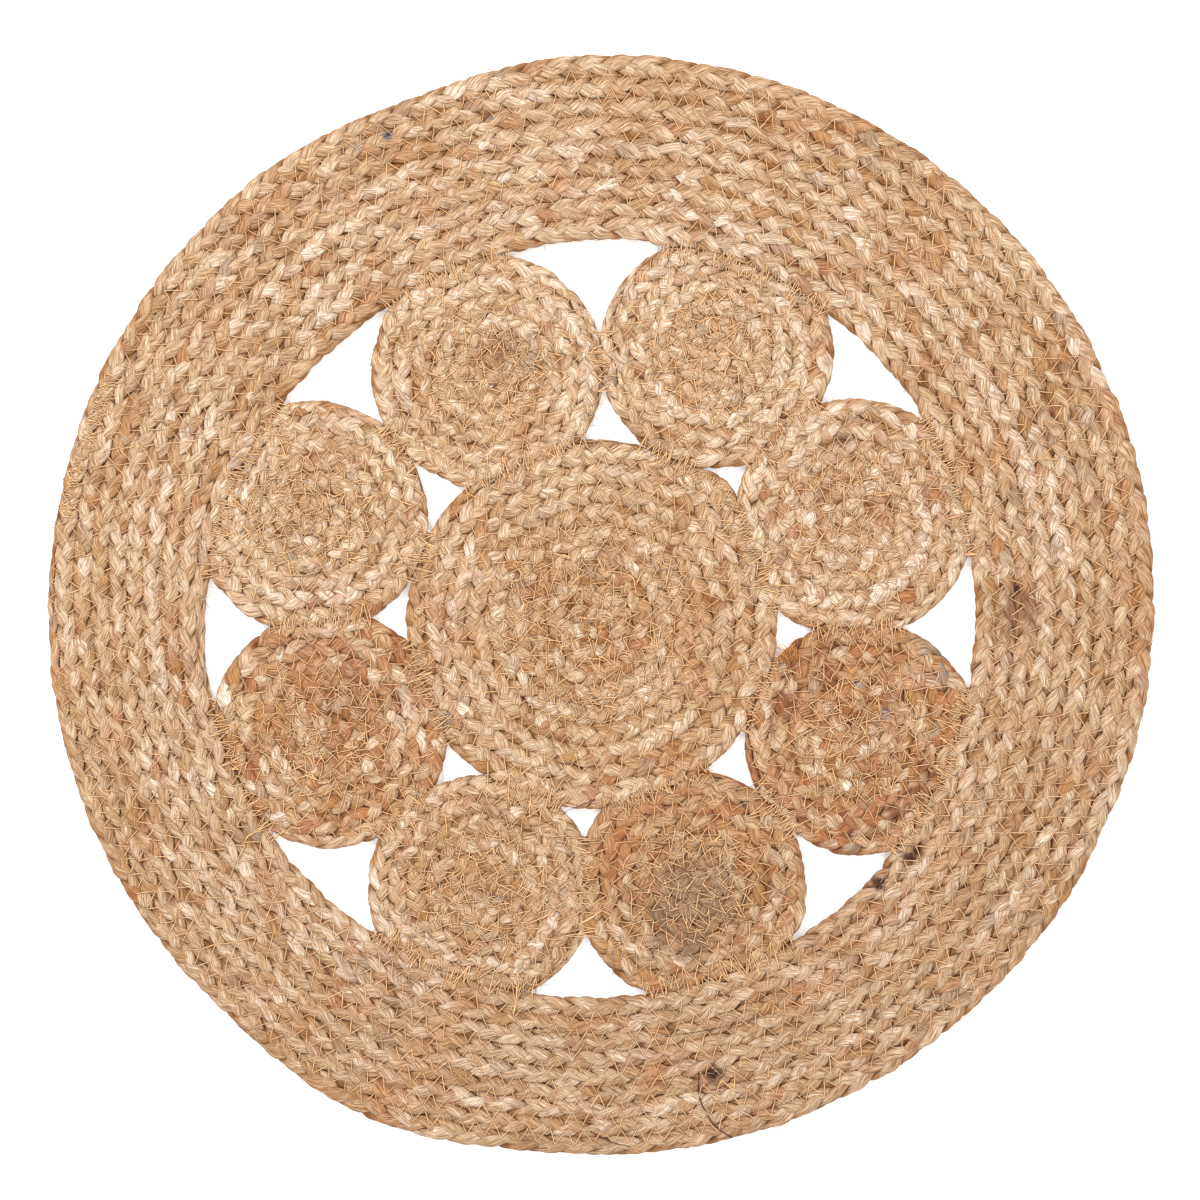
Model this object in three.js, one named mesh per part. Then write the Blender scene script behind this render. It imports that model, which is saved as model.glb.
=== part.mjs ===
// A round openwork rug of braided jute, lying flat with +Z up.
//
// One three-strand braid is coiled and sewn into a wide border. Inside it lie eight small
// coiled medallions round one large one, each pressed flat where it meets its neighbours
// and oversewn to them there. The holes between them go right through.
//
// Units are millimetres. The origin is on the floor under the middle of the rug.
import * as THREE from 'three';

const { degToRad, clamp, lerp, smoothstep } = THREE.MathUtils;
const TURN = 2 * Math.PI;

// ---- Driving dimensions ----------------------------------------------------------------

const RUG_RADIUS = 400;
const BRAID_THICKNESS = 9;
const GAP = 0.4;                    // left between two braid rows, and between two pieces
const BLUNT_PART = 0.4;             // of a taper, how much is cut off as the blunt end
const SHOULDER = 2.8;               // how far each side of a row leans in at the top

// The border's ends taper over this much of a turn, and every row moves out one row there.
const BORDER = { rows: 9, segments: 36, shiftPart: 5 / 36, startAngle: degToRad(158) };
const BORDER_INNER_RADIUS = 277;
const BORDER_INNER_CENTRE = { bearing: degToRad(246), distance: 13.5 };

// How the border's edges stray from true circles: waves with so many sides, and swellings.
const OUTER_OFF_CENTRE = { sides: 1, height: 1.9, bearing: 272 };
const OUTER_OVAL = { sides: 2, height: 2, bearing: 25 };
const OUTER_SWELLINGS = [
  { bearing: 245, halfWidth: 11, height: 8 },
  { bearing: 111, halfWidth: 11, height: -6 },
];
const INNER_OVAL = { sides: 2, height: 3.7, bearing: 29 };
const INNER_THREE_SIDED = { sides: 3, height: 1.5, bearing: 68 };

// The medallions' rows climb through the last half of each turn.
const CENTRE = { rows: 9, segments: 18, shiftPart: 0.5, startAngle: degToRad(43) };
const CENTRE_RADIUS = 136;
const CENTRE_TAIL = { bearing: 44, halfWidth: 10, height: 14 };
const SMALL = { rows: 6, segments: 16, shiftPart: 0.5 };
const SMALL_RADIUS = 86;
const CORE_RADIUS = 0.8;            // the pin-hole that the first turn closes round

// The ring of small medallions, laid out by hand: how far each one strays from its even
// place round the ring, out from the ring, and from the common radius.
const RING_CENTRE = new THREE.Vector2(-6, -14);
const RING_RADIUS = 209;
const RING_FIRST_BEARING = 112.5;
const HAND_LAID = [
  { turned: 0, out: -11, wider: 0, start: 300 },
  { turned: -2, out: 7, wider: 0, start: 75 },
  { turned: -1, out: -4, wider: 2, start: 210 },
  { turned: -1, out: 4, wider: 0, start: 120 },
  { turned: -2, out: -5, wider: -1, start: 20 },
  { turned: 0, out: 2, wider: -2, start: 250 },
  { turned: 0, out: -2, wider: 1, start: 160 },
  { turned: 2, out: 9, wider: 0, start: 340 },
];

// The sewing thread lies in the groove between two rows, and between two joined pieces.
const THREAD = { tip: 0.62 * BRAID_THICKNESS, top: 0.97 * BRAID_THICKNESS, fill: 0.6 };
const JOINT_LENGTH_PART = 0.8;      // of each line of contact, how much is oversewn
const JOINT_SHOULDER = 2.2;         // the least lean of the rows on both sides of a joint

// ---- Materials -------------------------------------------------------------------------

function jute() {
  return new THREE.MeshStandardMaterial({ color: 0xcca47e, roughness: 0.78, metalness: 0 });
}

function sewingThread() {
  return new THREE.MeshStandardMaterial({ color: 0xdca768, roughness: 0.5, metalness: 0 });
}

// ---- Outlines --------------------------------------------------------------------------

function bearingPoint(bearing, distance, from = new THREE.Vector2()) {
  return new THREE.Vector2(Math.cos(bearing), Math.sin(bearing)).multiplyScalar(distance).add(from);
}

// A low swelling of the outline round one bearing.
function swelling(angle, { bearing, halfWidth, height }) {
  const turned = angle - degToRad(bearing);
  const away = Math.atan2(Math.sin(turned), Math.cos(turned));
  return height * Math.exp(-((away / degToRad(halfWidth)) ** 2));
}

// A wave round the whole outline that makes it oval, or three-sided.
function wave(angle, { sides, height, bearing }) {
  return height * Math.cos(sides * (angle - degToRad(bearing)));
}

function borderOuterEdge(angle) {
  const round = RUG_RADIUS + wave(angle, OUTER_OFF_CENTRE) + wave(angle, OUTER_OVAL);
  return OUTER_SWELLINGS.reduce((radius, place) => radius + swelling(angle, place), round);
}

function borderInnerEdge(angle) {
  const offCentre = BORDER_INNER_CENTRE.distance * Math.cos(angle - BORDER_INNER_CENTRE.bearing);
  const round = BORDER_INNER_RADIUS + offCentre;
  return round + wave(angle, INNER_OVAL) + wave(angle, INNER_THREE_SIDED);
}

// The inner edge's corners stand back so that its straight steps stay outside the true edge.
function borderInnerCorner(angle) {
  return borderInnerEdge(angle) / Math.cos(Math.PI / BORDER.segments);
}

// How far a medallion may reach along one direction before it meets the border.
function reachToBorder(centre, angle) {
  const direction = bearingPoint(angle, 1);
  if (direction.dot(centre) <= 0) {
    return Infinity;
  }
  let reach = borderInnerEdge(angle) - centre.length();
  for (let step = 0; step < 12; step += 1) {
    const point = direction.clone().multiplyScalar(reach).add(centre);
    reach += borderInnerEdge(point.angle()) - point.length();
  }
  return reach;
}

// Two round medallions press each other flat along the line through the two points where
// their circles would cross: `along` is its distance from the first one's centre.
function contactLine(first, second) {
  const between = second.centre.clone().sub(first.centre);
  const distance = between.length();
  const along = (distance ** 2 + first.radius ** 2 - second.radius ** 2) / (2 * distance);
  const halfLength = Math.sqrt(Math.max(0, first.radius ** 2 - along ** 2));
  return { bearing: between.angle(), along, halfLength };
}

// ---- Coils -----------------------------------------------------------------------------

function makeSmallMedallion(place, index) {
  const bearing = degToRad(RING_FIRST_BEARING - 45 * index + place.turned);
  return {
    ...SMALL,
    name: `medallion_${index + 1}`,
    startAngle: degToRad(place.start),
    centre: bearingPoint(bearing, RING_RADIUS + place.out, RING_CENTRE),
    radius: SMALL_RADIUS + place.wider,
  };
}

const small = HAND_LAID.map(makeSmallMedallion);
const large = {
  ...CENTRE,
  name: 'centre_medallion',
  centre: new THREE.Vector2(-6.5, -15.2),
  radius: CENTRE_RADIUS,
};

// A medallion's straight steps touch its circle. The large one bulges where its tail is tucked in.
function looseRadius(coil, angle) {
  const cornerRadius = coil.radius / Math.cos(Math.PI / coil.segments);
  if (coil !== large) {
    return cornerRadius;
  }
  return cornerRadius + swelling(angle, CENTRE_TAIL);
}

// Its outline is that shape, cut back by the lines of contact and the border.
function pressedRadius(coil, angle) {
  let radius = looseRadius(coil, angle);
  for (const line of coil.contacts) {
    const lean = Math.cos(angle - line.bearing);
    if (lean > 0) {
      radius = Math.min(radius, line.along / lean);
    }
  }
  if (coil !== large) {
    radius = Math.min(radius, reachToBorder(coil.centre, angle));
  }
  return radius;
}

function finishMedallion(coil) {
  const others = [...small, large].filter((other) => other !== coil);
  coil.contacts = others
    .map((other) => contactLine(coil, other))
    .filter((line) => line.halfLength > 0);
  // The pressing fades towards the middle, where the rows stay round.
  coil.radiusAt = (angle, part) => CORE_RADIUS
    + (coil.radius - CORE_RADIUS) * part
    + (pressedRadius(coil, angle) - coil.radius) * part ** 2;
}

small.forEach(finishMedallion);
finishMedallion(large);

const border = {
  ...BORDER,
  name: 'border',
  centre: new THREE.Vector2(0, 0),
  radiusAt: (angle, part) => lerp(borderInnerCorner(angle), borderOuterEdge(angle), part),
};

// Rows crossed after some turns: a row keeps its place, then moves out by one.
function rowAfter(coil, turns) {
  const whole = Math.floor(turns);
  return whole + smoothstep((turns - whole - 1 + coil.shiftPart) / coil.shiftPart, 0, 1);
}

function edgeRadius(coil, angle, row) {
  return coil.radiusAt(angle, clamp(row / coil.rows, 0, 1));
}

// The coil winds outward clockwise, seen from above, in steps of one part of a turn.
function coilSteps(coil, firstStep, lastStep) {
  const steps = [];
  for (let step = firstStep; step <= lastStep; step += 1) {
    const turns = step / coil.segments;
    steps.push({ angle: coil.startAngle - TURN * turns, row: rowAfter(coil, turns) });
  }
  return steps;
}

// The steps by which a blunt end stops short of where the taper would have no width left.
function bluntSteps(coil) {
  return Math.round(BLUNT_PART * coil.shiftPart * coil.segments);
}

// ---- Solids ----------------------------------------------------------------------------

// A row leans in by its full shoulder, or by less where it tapers.
function shoulderOf(width) {
  return Math.min(SHOULDER, 0.4 * width);
}

// One closed solid through a row of sections, each with its corners in the same order. The
// sections follow each other clockwise, and each one's corners run inside, top, outside.
function loft(sections) {
  const sides = sections[0].length;
  const positions = sections.flat().flatMap((corner) => corner.toArray());
  const faces = [];
  for (let i = 0; i + 1 < sections.length; i += 1) {
    for (let j = 0; j < sides; j += 1) {
      const a = i * sides + j;
      const b = i * sides + (j + 1) % sides;
      faces.push(a, b + sides, b, a, a + sides, b + sides);
    }
  }
  const last = (sections.length - 1) * sides;
  for (let j = 1; j + 1 < sides; j += 1) {
    faces.push(0, j, j + 1, last, last + j + 1, last + j);
  }
  const shape = new THREE.BufferGeometry();
  shape.setAttribute('position', new THREE.Float32BufferAttribute(positions, 3));
  shape.setIndex(faces);
  const faceted = shape.toNonIndexed();
  faceted.computeVertexNormals();
  return faceted;
}

// A corner given by its distance out from a centre along one bearing, and its height.
function corner(angle, radius, height) {
  return new THREE.Vector3(radius * Math.cos(angle), radius * Math.sin(angle), height);
}

function braidSection(coil, { angle, row }) {
  const inner = edgeRadius(coil, angle, row) + GAP / 2;
  const outer = edgeRadius(coil, angle, row + 1) - GAP / 2;
  const shoulder = shoulderOf(outer - inner);
  return [
    corner(angle, inner, 0),
    corner(angle, inner + shoulder, BRAID_THICKNESS),
    corner(angle, outer - shoulder, BRAID_THICKNESS),
    corner(angle, outer, 0),
  ];
}

// The thread in a groove, as a bar of three corners hung between two leaning sides.
function threadBar(pointAt, shoulder) {
  const half = THREAD.fill * shoulder;
  return [pointAt(0, THREAD.tip), pointAt(-half, THREAD.top), pointAt(half, THREAD.top)];
}

function seamSection(coil, { angle, row }) {
  const middle = edgeRadius(coil, angle, row);
  const narrower = Math.min(
    middle - edgeRadius(coil, angle, row - 1),
    edgeRadius(coil, angle, row + 1) - middle,
  );
  const pointAt = (out, height) => corner(angle, middle + out, height);
  return threadBar(pointAt, shoulderOf(narrower - GAP));
}

function coilBraid(coil) {
  const firstStep = bluntSteps(coil) - Math.round(coil.shiftPart * coil.segments);
  const lastStep = coil.rows * coil.segments - bluntSteps(coil);
  return loft(coilSteps(coil, firstStep, lastStep).map((step) => braidSection(coil, step)));
}

function coilSeam(coil) {
  const lastStep = coil.rows * coil.segments - bluntSteps(coil) - 1;
  return loft(coilSteps(coil, coil.segments, lastStep).map((step) => seamSection(coil, step)));
}

// The oversewing along the straight contact between two medallions.
function straightJoint(line) {
  const reach = JOINT_LENGTH_PART * line.halfLength;
  const out = bearingPoint(line.bearing, 1);
  const across = bearingPoint(line.bearing + Math.PI / 2, 1);
  const sectionAt = (side) => threadBar((offset, height) => {
    const flat = out.clone().multiplyScalar(line.along + offset).addScaledVector(across, side);
    return new THREE.Vector3(flat.x, flat.y, height);
  }, JOINT_SHOULDER);
  return loft([sectionAt(reach), sectionAt(-reach)]);
}

// The oversewing along the curved contact between a medallion and the border.
function borderJoint(coil) {
  const bearing = coil.centre.angle();
  const touches = (angle) => {
    const edge = bearingPoint(angle, borderInnerEdge(angle));
    return edge.distanceTo(coil.centre) < coil.radius;
  };
  const stepAngle = degToRad(0.5);
  let from = bearing;
  while (touches(from + stepAngle)) {
    from += stepAngle;
  }
  let to = bearing;
  while (touches(to - stepAngle)) {
    to -= stepAngle;
  }
  const middle = (from + to) / 2;
  const half = (from - to) / 2 * JOINT_LENGTH_PART;
  const sections = [];
  const steps = 4;
  for (let i = 0; i <= steps; i += 1) {
    const angle = middle + half * (1 - 2 * i / steps);
    const pointAt = (offset, height) => corner(angle, borderInnerEdge(angle) + offset, height);
    sections.push(threadBar(pointAt, JOINT_SHOULDER));
  }
  return loft(sections);
}

// ---- The rug ---------------------------------------------------------------------------

const rug = new THREE.Group();

function addPiece(name, shape, material, centre) {
  const piece = new THREE.Mesh(shape, material);
  piece.name = name;
  piece.position.set(centre.x, centre.y, 0);
  rug.add(piece);
}

for (const coil of [border, large, ...small]) {
  addPiece(`${coil.name}_braid`, coilBraid(coil), jute(), coil.centre);
  addPiece(`${coil.name}_seam_thread`, coilSeam(coil), sewingThread(), coil.centre);
}

small.forEach((coil, index) => {
  const number = index + 1;
  const next = small[number % small.length];
  const nextNumber = number % small.length + 1;
  const toNext = straightJoint(contactLine(coil, next));
  const toCentre = straightJoint(contactLine(coil, large));
  addPiece(`joint_${number}_to_border`, borderJoint(coil), sewingThread(), border.centre);
  addPiece(`joint_${number}_to_${nextNumber}`, toNext, sewingThread(), coil.centre);
  addPiece(`joint_${number}_to_centre`, toCentre, sewingThread(), coil.centre);
});

export default rug;
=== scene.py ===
import math
from types import SimpleNamespace

import bpy
import numpy as np
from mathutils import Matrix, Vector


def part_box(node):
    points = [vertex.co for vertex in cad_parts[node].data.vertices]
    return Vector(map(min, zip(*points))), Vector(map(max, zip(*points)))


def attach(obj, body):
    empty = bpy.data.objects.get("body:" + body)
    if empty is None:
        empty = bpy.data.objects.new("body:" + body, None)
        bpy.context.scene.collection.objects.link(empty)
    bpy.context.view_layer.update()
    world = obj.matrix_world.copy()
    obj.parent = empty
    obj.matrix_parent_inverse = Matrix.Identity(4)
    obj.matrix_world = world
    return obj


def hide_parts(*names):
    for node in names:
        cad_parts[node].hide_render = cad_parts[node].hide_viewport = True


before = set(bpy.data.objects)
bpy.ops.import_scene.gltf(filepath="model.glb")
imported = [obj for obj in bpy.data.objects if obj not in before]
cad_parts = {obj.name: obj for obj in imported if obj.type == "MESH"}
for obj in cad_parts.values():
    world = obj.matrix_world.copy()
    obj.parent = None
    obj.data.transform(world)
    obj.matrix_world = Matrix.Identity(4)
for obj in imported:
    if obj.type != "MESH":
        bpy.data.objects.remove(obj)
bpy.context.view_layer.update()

# A round openwork rug of braided jute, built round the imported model.
#
# Every coil is one three-strand braid that winds outward clockwise. The strands are real
# tubes that pass over and under each other, and the sewing threads are tubes draped over
# them. Lengths are metres and angles radians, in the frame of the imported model.

MM = 0.001
TURN = 2 * math.pi
FAR = 10.0  # further than anything on the rug reaches


# ---- Driving dimensions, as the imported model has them

RUG_RADIUS = 400 * MM
RUG_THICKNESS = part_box("border_braid")[1].z
CORE_RADIUS = 0.8 * MM
PRESSING = 60  # how sharply a coil's round outline turns into a flat one
LEAST_LEAN = 0.01  # a neighbour further round than this doesn't press

BORDER = {"rows": 9, "shift_part": 5 / 36, "start": math.radians(158)}
BORDER_INNER_RADIUS = 277 * MM

# How the border's edges stray from true circles. A wave has its number of sides, its height
# in millimetres and a bearing in degrees; a swelling its bearing, half width and height.
OUTER_WAVES = [(1, 1.9, 272), (2, 2, 25)]
OUTER_SWELLINGS = [(245, 11, 8), (111, 11, -6)]
INNER_WAVES = [(1, 13.5, 246), (2, 3.7, 29), (3, 1.5, 68)]

CENTRE = {"rows": 9, "shift_part": 0.5, "start": math.radians(43)}
CENTRE_PLACE = np.array([-6.5, -15.2]) * MM
CENTRE_RADIUS = 136 * MM
CENTRE_TAIL = (44, 10, 14)  # the swelling where its braid's end is tucked in
SMALL = {"rows": 6, "shift_part": 0.5}
SMALL_RADIUS = 86 * MM
RING_CENTRE = np.array([-6, -14]) * MM
RING_RADIUS = 209 * MM
RING_FIRST_BEARING = 112.5

# Each small medallion: degrees turned round the ring, millimetres out from it, millimetres
# wider, and the bearing in degrees where its coil starts.
HAND_LAID = [
    (0, -11, 0, 300),
    (-2, 7, 0, 75),
    (-1, -4, 2, 210),
    (-1, 4, 0, 120),
    (-2, -5, -1, 20),
    (0, 2, -2, 250),
    (0, -2, 1, 160),
    (2, 9, 0, 340),
]
BLUNT_PART = 0.15  # of a taper, how much is cut off as the blunt end
SQUEEZE = 3.6 * MM  # how deep touching pieces press into each other's straw
STEPS_PER_TURN = 720  # by which a coil's line is first worked out
REACH_STEPS = 12  # each of which comes nearer to the border's edge
SEAM_STEP = 1.5 * MM  # about how far apart a seam's places and points are

# ---- The braid

ROW_WIDTH = 13.7 * MM  # of a braid at its full size
OVERHANG = 2.2 * MM  # how far the straw bulges past the rows' own edges
OVERHANG_LOST = 0.9  # of that, how much less the border's last row moves
BRAID_PERIOD = 57 * MM  # along which each strand crosses over and back
STRAND_SWING = 3.7 * MM  # how far a strand's centre swings to each side
STRAND_LIFT = 1.7 * MM  # and up and down
STRAND_STAY = 0.45  # over 0, a strand shows for longer on top than below
STRAND_HALF_WIDTH = 5.3 * MM
STRAND_HALF_THICKNESS = 2.4 * MM
STRAND_TILT = 0.45  # a strand lies against the braid's edge at this slope
STRAND_SQUARENESS = 0.63  # under 1, strands are flatter than an ellipse
FIBRE_SLANT = 0.45  # how far the fibres turn round a strand as it crosses
RING_SPACING = 2.0 * MM
STRAND_SIDES = 16
STRAND_EASE = 0.15  # over 0, a strand passes softly from face to face
MOST_GROWTH = 1.15  # a wide row's braid is this much over full size at most
FLOOR_CLEARANCE = 0.1 * MM

# A medallion's braid is tighter than the border's: its period in the middle, and how much
# that grows by the outside, as parts of the border's.
CORE_TIGHTNESS = 0.45
TIGHTNESS_GAIN = 0.43

# A strand's width and thickness where it turns at the braid's edge, and what they gain
# where it crosses a face, as parts of the full ones.
EDGE_WIDTH = 0.74
FACE_WIDTH_GAIN = 0.32
EDGE_THICKNESS = 1.08
FACE_THICKNESS_GAIN = -0.10

# How a hand-made braid strays from its even form: how much, and over what length. What
# strays by crossing takes a new value each time its strand crosses over.
PERIOD_STRAY = (0.07, 0.25)
SWING_STRAY = (0.18, 0.05)
ACROSS_STRAY = (0.35 * MM, 0.03)
LIFT_STRAY = (0.25 * MM, 0.03)
FULLNESS_STRAY = (0.06, 0.022)
FULLNESS_BY_CROSSING = (0.09, 1)
RIDGE_STRAY = (0.05, 0.012)
ROLL_STRAY = (0.1, 0.03)
TWIST_STRAY = (0.4, 0.06)
LOT_TONE_STRAY = (0.25, 0.18)
STRAND_TONE_STRAY = (0.25, 0.12)
SIDE_TONE_STRAY = (0.4, 0.03)

# ---- The sewing thread

THREAD_RADIUS = 0.29 * MM
STITCH_PITCH = 6.5 * MM  # along the seam, from one needle hole to the next
STITCH_REACH = 5.8 * MM  # from the seam to the needle holes
SEAM_CLEARANCE = 1 * MM  # how far stitches stay from the next seam
THREAD_SIDES = 6
BOBBIN_SIDES = 4
MAP_CELL = 1 * MM  # of the height maps that the threads are draped on


# ---- Number helpers

def ease(value):
    """Goes smoothly from 0 to 1."""
    value = np.clip(value, 0, 1)
    return value * value * (3 - 2 * value)


def wander(places, spacing, rng, columns=None):
    """Smooth random values of about 1 along a line of places that starts at zero. They
    change over the spacing. With columns, each place has that many values of its own."""
    steps = places / spacing
    count = int(steps.max()) + 3
    knots = rng.normal(size=count if columns is None else (count, columns))
    index = np.floor(steps).astype(int)
    blend = ease(steps - index)
    if columns is not None:
        blend = blend[:, None]
    return knots[index] * (1 - blend) + knots[index + 1] * blend


def bearing_vector(angle):
    return np.stack([np.cos(angle), np.sin(angle)], -1)


def stray(places, kind, rng, columns=None):
    """Smooth random values of some amount that change over some spacing."""
    amount, spacing = kind
    return amount * wander(places, spacing, rng, columns)


def unit(vectors):
    return vectors / np.maximum(np.linalg.norm(vectors, axis=-1, keepdims=True), 1e-12)


def left_of(directions):
    """Level vectors at right angles to these directions, to their left."""
    flat = np.stack([-directions[..., 1], directions[..., 0], 0 * directions[..., 0]], -1)
    return unit(flat)


def distances_along(points):
    """How far each point of a line is from its first one."""
    steps = np.linalg.norm(np.diff(points, axis=0), axis=1)
    return np.concatenate([[0], np.cumsum(steps)])


def points_at(places, along, points):
    """The level points at some distances along a line."""
    return np.stack([np.interp(places, along, points[:, axis]) for axis in (0, 1)], -1)


def linear(red, green, blue):
    """A colour from 0 to 255 per channel, as linear light."""
    share = np.array([red, green, blue]) / 255
    return np.where(share <= 0.04045, share / 12.92, ((share + 0.055) / 1.055) ** 2.4)


# ---- Outlines

def swelling(angle, bearing, half_width, height):
    """A low swelling of an outline round one bearing, given in degrees."""
    turned = angle - math.radians(bearing)
    away = np.arctan2(np.sin(turned), np.cos(turned))
    return height * np.exp(-((away / math.radians(half_width)) ** 2))


def waves(angle, kinds):
    """Waves round a whole outline. One side shifts it, two make it oval, three three-sided."""
    return sum(height * MM * np.cos(sides * (angle - math.radians(bearing)))
               for sides, height, bearing in kinds)


def border_outer_edge(angle):
    swellings = sum(swelling(angle, *kind) for kind in OUTER_SWELLINGS) * MM
    return RUG_RADIUS + waves(angle, OUTER_WAVES) + swellings


def border_inner_edge(angle):
    return BORDER_INNER_RADIUS + waves(angle, INNER_WAVES)


def reach_to_border(centre, angle):
    """How far a medallion may reach along one bearing before it meets the border."""
    direction = bearing_vector(angle)
    reach = border_inner_edge(angle) - np.linalg.norm(centre)
    for _ in range(REACH_STEPS):
        point = centre + direction * reach[:, None]
        bearing = np.arctan2(point[:, 1], point[:, 0])
        reach = reach + border_inner_edge(bearing) - np.linalg.norm(point, axis=1)
    return np.where(direction @ centre > 0, reach, FAR)


def contact_line(first, second):
    """Two round medallions press each other flat along the line through the two points
    where their circles would cross."""
    between = second.centre - first.centre
    distance = np.linalg.norm(between)
    along = (distance**2 + first.radius**2 - second.radius**2) / (2 * distance)
    half_length = math.sqrt(max(0, first.radius**2 - along**2))
    bearing = math.atan2(between[1], between[0])
    return SimpleNamespace(bearing=bearing, along=along, half_length=half_length)


def pressed_radius(coil, angle):
    """A medallion's outline, cut back softly by its neighbours and the border."""
    reaches = [coil.radius + coil.tail(angle)]
    for line in coil.contacts:
        lean = np.maximum(np.cos(angle - line.bearing), LEAST_LEAN)
        reaches.append(np.where(lean > LEAST_LEAN, (line.along + SQUEEZE) / lean, FAR))
    if coil.meets_border:
        reaches.append(reach_to_border(coil.centre, angle) + SQUEEZE)
    return np.sum(np.array(reaches) ** -PRESSING, axis=0) ** (-1 / PRESSING)


# ---- Coils

def make_medallions():
    coils = []
    for index, (turned, out, wider, start) in enumerate(HAND_LAID):
        bearing = math.radians(RING_FIRST_BEARING - 360 / len(HAND_LAID) * index + turned)
        coils.append(SimpleNamespace(
            **SMALL,
            name=f"medallion_{index + 1}",
            start=math.radians(start),
            centre=RING_CENTRE + bearing_vector(bearing) * (RING_RADIUS + out * MM),
            radius=SMALL_RADIUS + wider * MM,
            tail=lambda angle: 0 * angle,
            meets_border=True,
        ))
    coils.append(SimpleNamespace(
        **CENTRE,
        name="centre_medallion",
        centre=CENTRE_PLACE,
        radius=CENTRE_RADIUS,
        tail=lambda angle: swelling(angle, *CENTRE_TAIL) * MM,
        meets_border=False,
    ))
    for coil in coils:
        lines = [contact_line(coil, other) for other in coils if other is not coil]
        coil.contacts = [line for line in lines if line.half_length > 0]
    return coils


def edge_radius(coil, angle, row):
    """The distance of a row's inner edge from its coil's centre."""
    part = np.clip(row / coil.rows, 0, 1)
    if coil.name == "border":
        inner = border_inner_edge(angle)
        return inner + (border_outer_edge(angle) - inner) * part
    pressed = pressed_radius(coil, angle)
    round_part = CORE_RADIUS + (coil.radius - CORE_RADIUS) * part
    return round_part + (pressed - coil.radius) * part**2


def row_after(coil, turns):
    """Rows crossed after some turns: a row keeps its place, then moves out by one."""
    whole = np.floor(turns)
    return whole + ease((turns - whole - 1 + coil.shift_part) / coil.shift_part)


def drawn_in(coil, from_inside):
    """How far the rows stand in towards the coil's centre, so that the bulging straw ends at
    the outline next to a gap: at a medallion's outside, and at the border's inside."""
    if coil.name == "border":
        return OVERHANG * (OVERHANG_LOST * from_inside - 1)
    return OVERHANG * from_inside


def lay_line(coil, first_turn, last_turn, spacing, middle):
    """Evenly spaced places along a coil: down the middle of its braid, or along the seam
    on the braid's inner side."""
    count = 1 + int(STEPS_PER_TURN * (last_turn - first_turn))
    turns = np.linspace(first_turn, last_turn, count)
    angle = coil.start - TURN * turns
    row = row_after(coil, turns)
    inner = edge_radius(coil, angle, row)
    outer = edge_radius(coil, angle, row + 1)
    radius = (inner + outer) / 2 if middle else inner
    radius = radius - drawn_in(coil, (row + 0.5 * middle) / coil.rows)
    points = coil.centre + bearing_vector(angle) * radius[:, None]
    along = distances_along(points)
    even = np.linspace(0, along[-1], 2 + int(along[-1] / spacing))
    point = points_at(even, along, points)
    heading = unit(np.gradient(point, axis=0))
    return SimpleNamespace(
        along=even,
        point=point,
        outward=np.stack([-heading[:, 1], heading[:, 0]], -1),
        half_width=np.interp(even, along, (outer - inner) / 2),
        room=np.interp(even, along, outer - inner) - SEAM_CLEARANCE,
        turns=np.interp(even, along, turns),
        bearing=np.arctan2(point[:, 1], point[:, 0]),
    )


# ---- Colours of the straw

PALE_STRAW = linear(238, 216, 192)
STRAW = linear(214, 180, 144)
TAN = linear(180, 131, 82)
RUSSET = linear(172, 108, 62)
GREY_STRAW = linear(150, 129, 112)

# How each medallion's straw differs from the rest: lighter, redder, greyer.
STRAW_LOTS = {
    "medallion_1": (0.10, 0, 0),
    "medallion_2": (0.28, 0, 0),
    "medallion_3": (0.20, 0.10, 0),
    "medallion_4": (-0.65, 0.36, 0),
    "medallion_5": (-0.95, 0.18, 0.06),
    "medallion_6": (-0.30, 0.02, 0.05),
    "medallion_7": (-0.35, 0.32, 0),
    "medallion_8": (0.10, 0, 0.03),
    "centre_medallion": (-0.15, 0.03, 0.02),
    "border": (0, 0.03, 0.05),
}

# How much the straw's tone and colour change from crossing to crossing. Russet and grey
# patches show only where a random value of about 1 is over their rarity.
BORDER_PATCHINESS = 0.70
MEDALLION_PATCHINESS = 0.60  # and more in a red lot
LOT_PATCHINESS = 1.2
RUSSET_PATCHES = 0.30
RUSSET_RARITY = 0.4
MOST_REDNESS = 0.8
GREY_PATCHES = 0.30
GREY_RARITY = 0.8

# The border's straw: duller on the lower side of the rug and by the rim, and paler in
# parts, each with its bearing and half width in degrees and how much lighter it is.
BORDER_LOSS = 0.15
LOW_SIDE = math.radians(280)
LOW_SIDE_LOSS = 0.35
LOW_SIDE_GREY = 0.12
RIM_START = 335 * MM
RIM_WIDTH = 30 * MM
RIM_LOSS = 0.3
PALE_PARTS = [(80, 28, 0.35), (305, 15, 0.35)]

MIDDLE_LOSS = 0.45  # how much duller a medallion is in its middle
MIDDLE_PART = 0.7  # of its radius


def straw_colour(tone, redness, greyness):
    """Tone runs from -2, tan, over 0, straw, to 2, pale straw."""
    light = np.clip(tone / 2, 0, 1)[..., None]
    dark = np.clip(-tone / 2, 0, 1)[..., None]
    colour = STRAW + (PALE_STRAW - STRAW) * light + (TAN - STRAW) * dark
    colour = colour + (RUSSET - colour) * np.clip(redness, 0, 1)[..., None]
    return colour + (GREY_STRAW - colour) * np.clip(greyness, 0, 1)[..., None]


def part_from_centre(coil, line):
    """How far out a medallion's places lie, as a part of its radius."""
    return np.linalg.norm(line.point - coil.centre, axis=1) / coil.radius


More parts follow.
